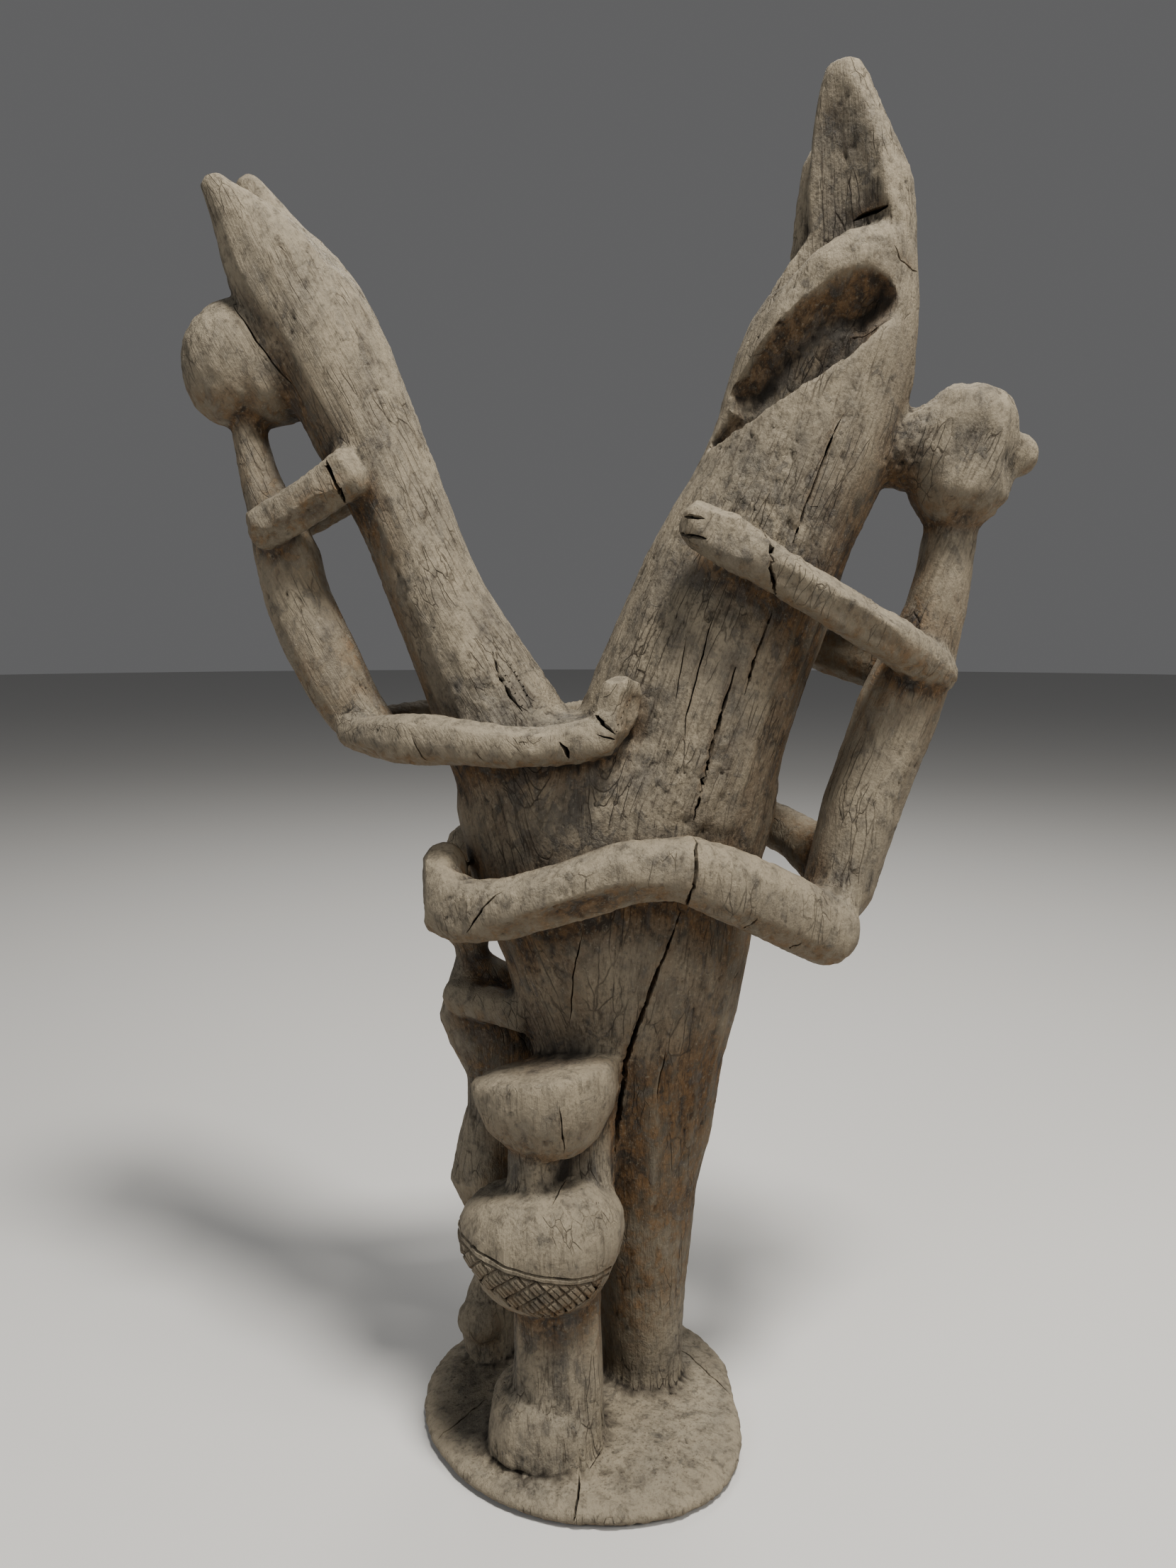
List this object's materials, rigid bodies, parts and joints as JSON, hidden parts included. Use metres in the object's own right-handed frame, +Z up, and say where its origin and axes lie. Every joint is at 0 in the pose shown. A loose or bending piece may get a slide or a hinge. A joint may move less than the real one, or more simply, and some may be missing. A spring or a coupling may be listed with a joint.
{
  "type": "carved wooden figure post",
  "caption": "Weathered forked wooden post on a low round base, carved with clinging abstract figures and stacked bowls; a standing sculpture for display.",
  "frame": {"origin": "the middle of the base's underside, on the floor", "axes": "+Z up; +X to the right and +Y away for a viewer who faces the side with the bowls"},
  "size_m": [0.5207, 0.2195, 0.8499],
  "materials": {
    "wood": "weathered bare wood, matt, grey-brown with dusty tops and darker hollows"
  },
  "bodies": {
    "root": {"carved_post": "wood"}
  },
  "joints": []
}
